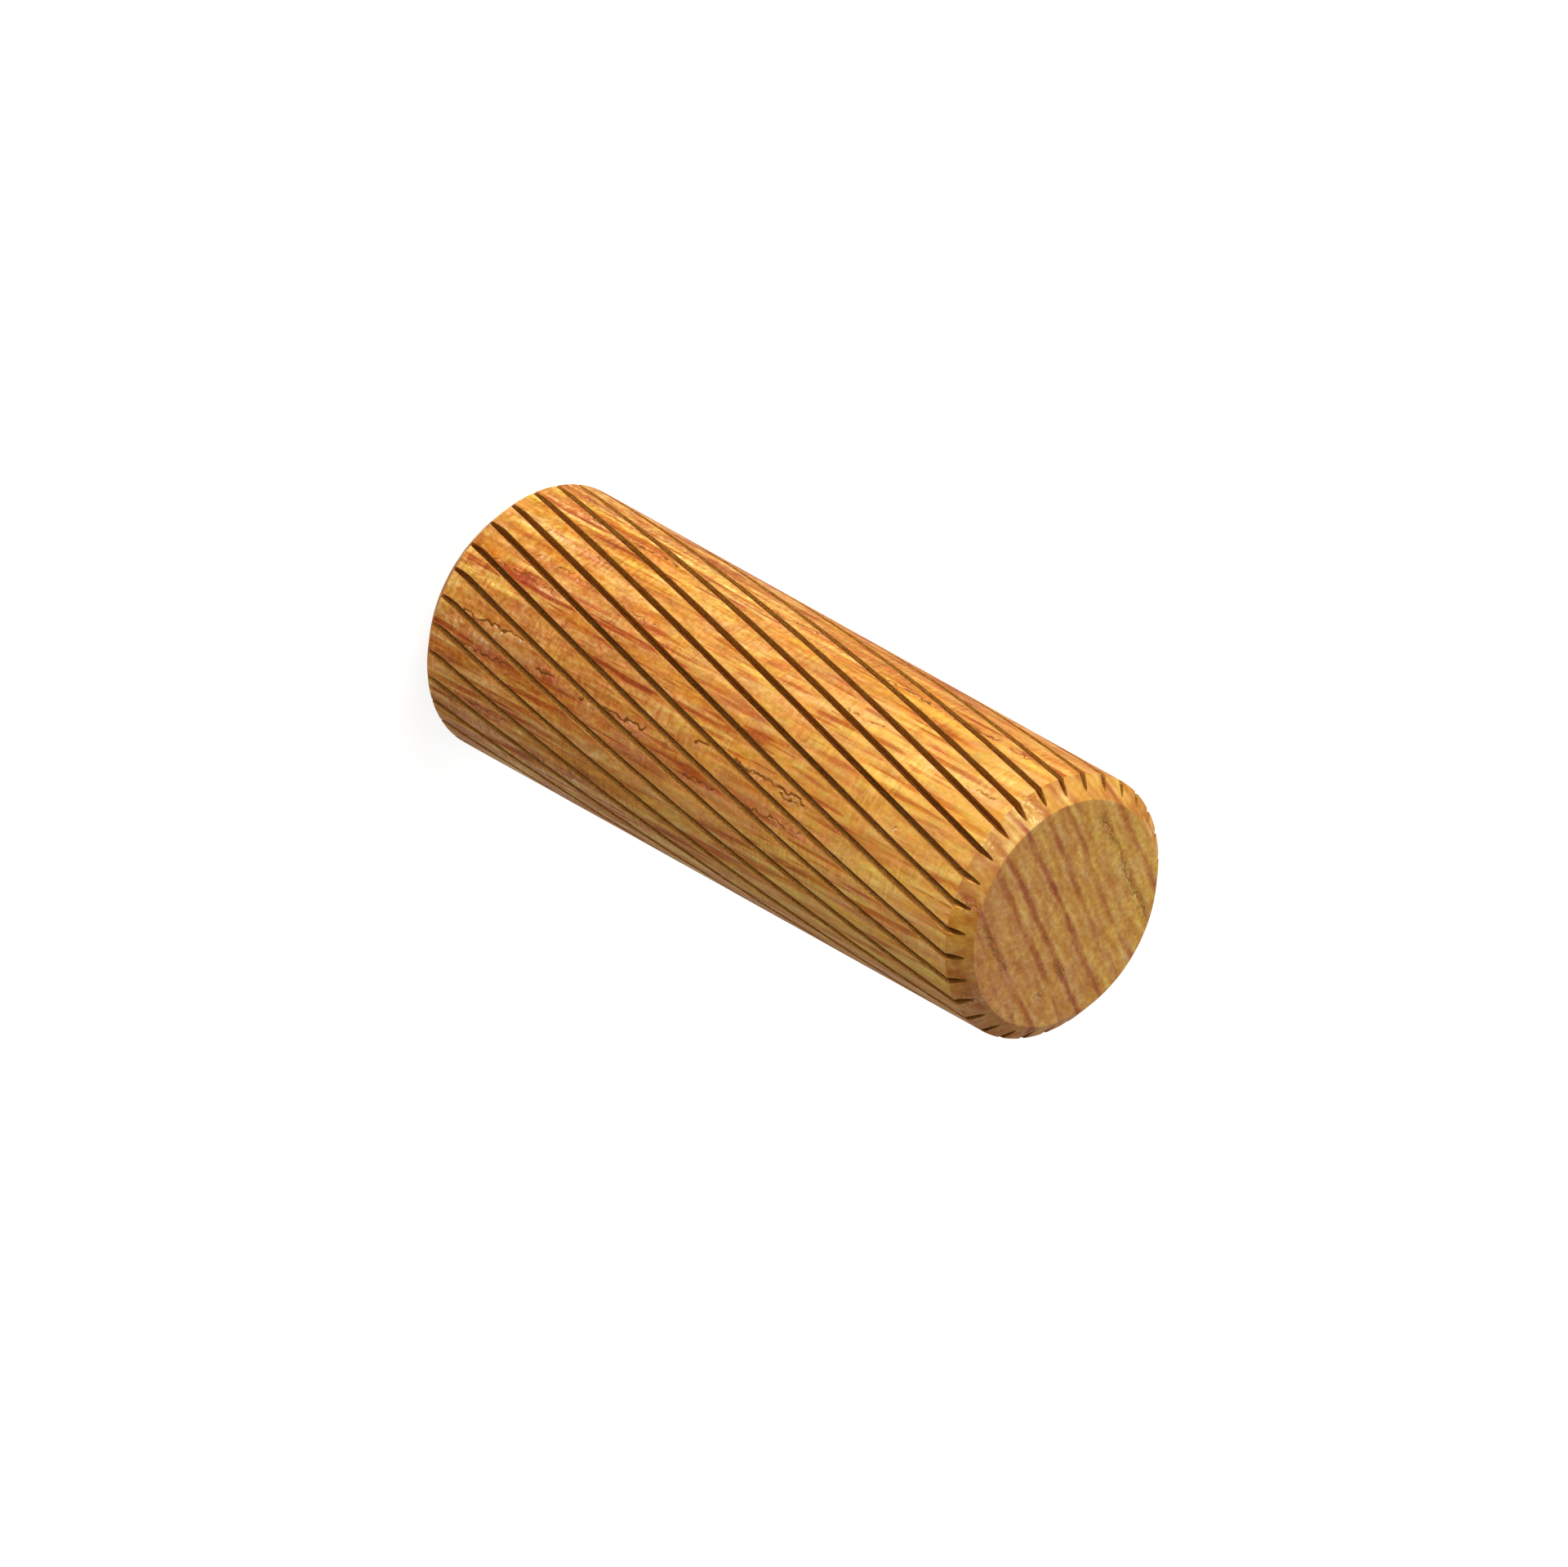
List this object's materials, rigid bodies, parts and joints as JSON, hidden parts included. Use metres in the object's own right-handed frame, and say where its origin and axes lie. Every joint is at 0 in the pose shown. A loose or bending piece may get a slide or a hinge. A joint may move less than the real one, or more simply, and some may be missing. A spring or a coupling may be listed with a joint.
{
  "type": "dowel pin",
  "caption": "Round wooden dowel pin with chamfered ends and narrow spiral flutes along its whole side.",
  "frame": {"origin": "Centre of the lower end face, on the axis of the pin, which is where it stands.", "axes": "+Z runs along the axis from the lower end to the upper end. +X points through the lower start of one flute. +Y completes the right-handed frame."},
  "size_m": [0.014, 0.014, 0.04],
  "materials": {
    "wood": "bare turned wood, fine grain along the pin, dry and satin, darker inside the flutes"
  },
  "bodies": {
    "root": {"dowel_pin": "wood"}
  },
  "joints": []
}
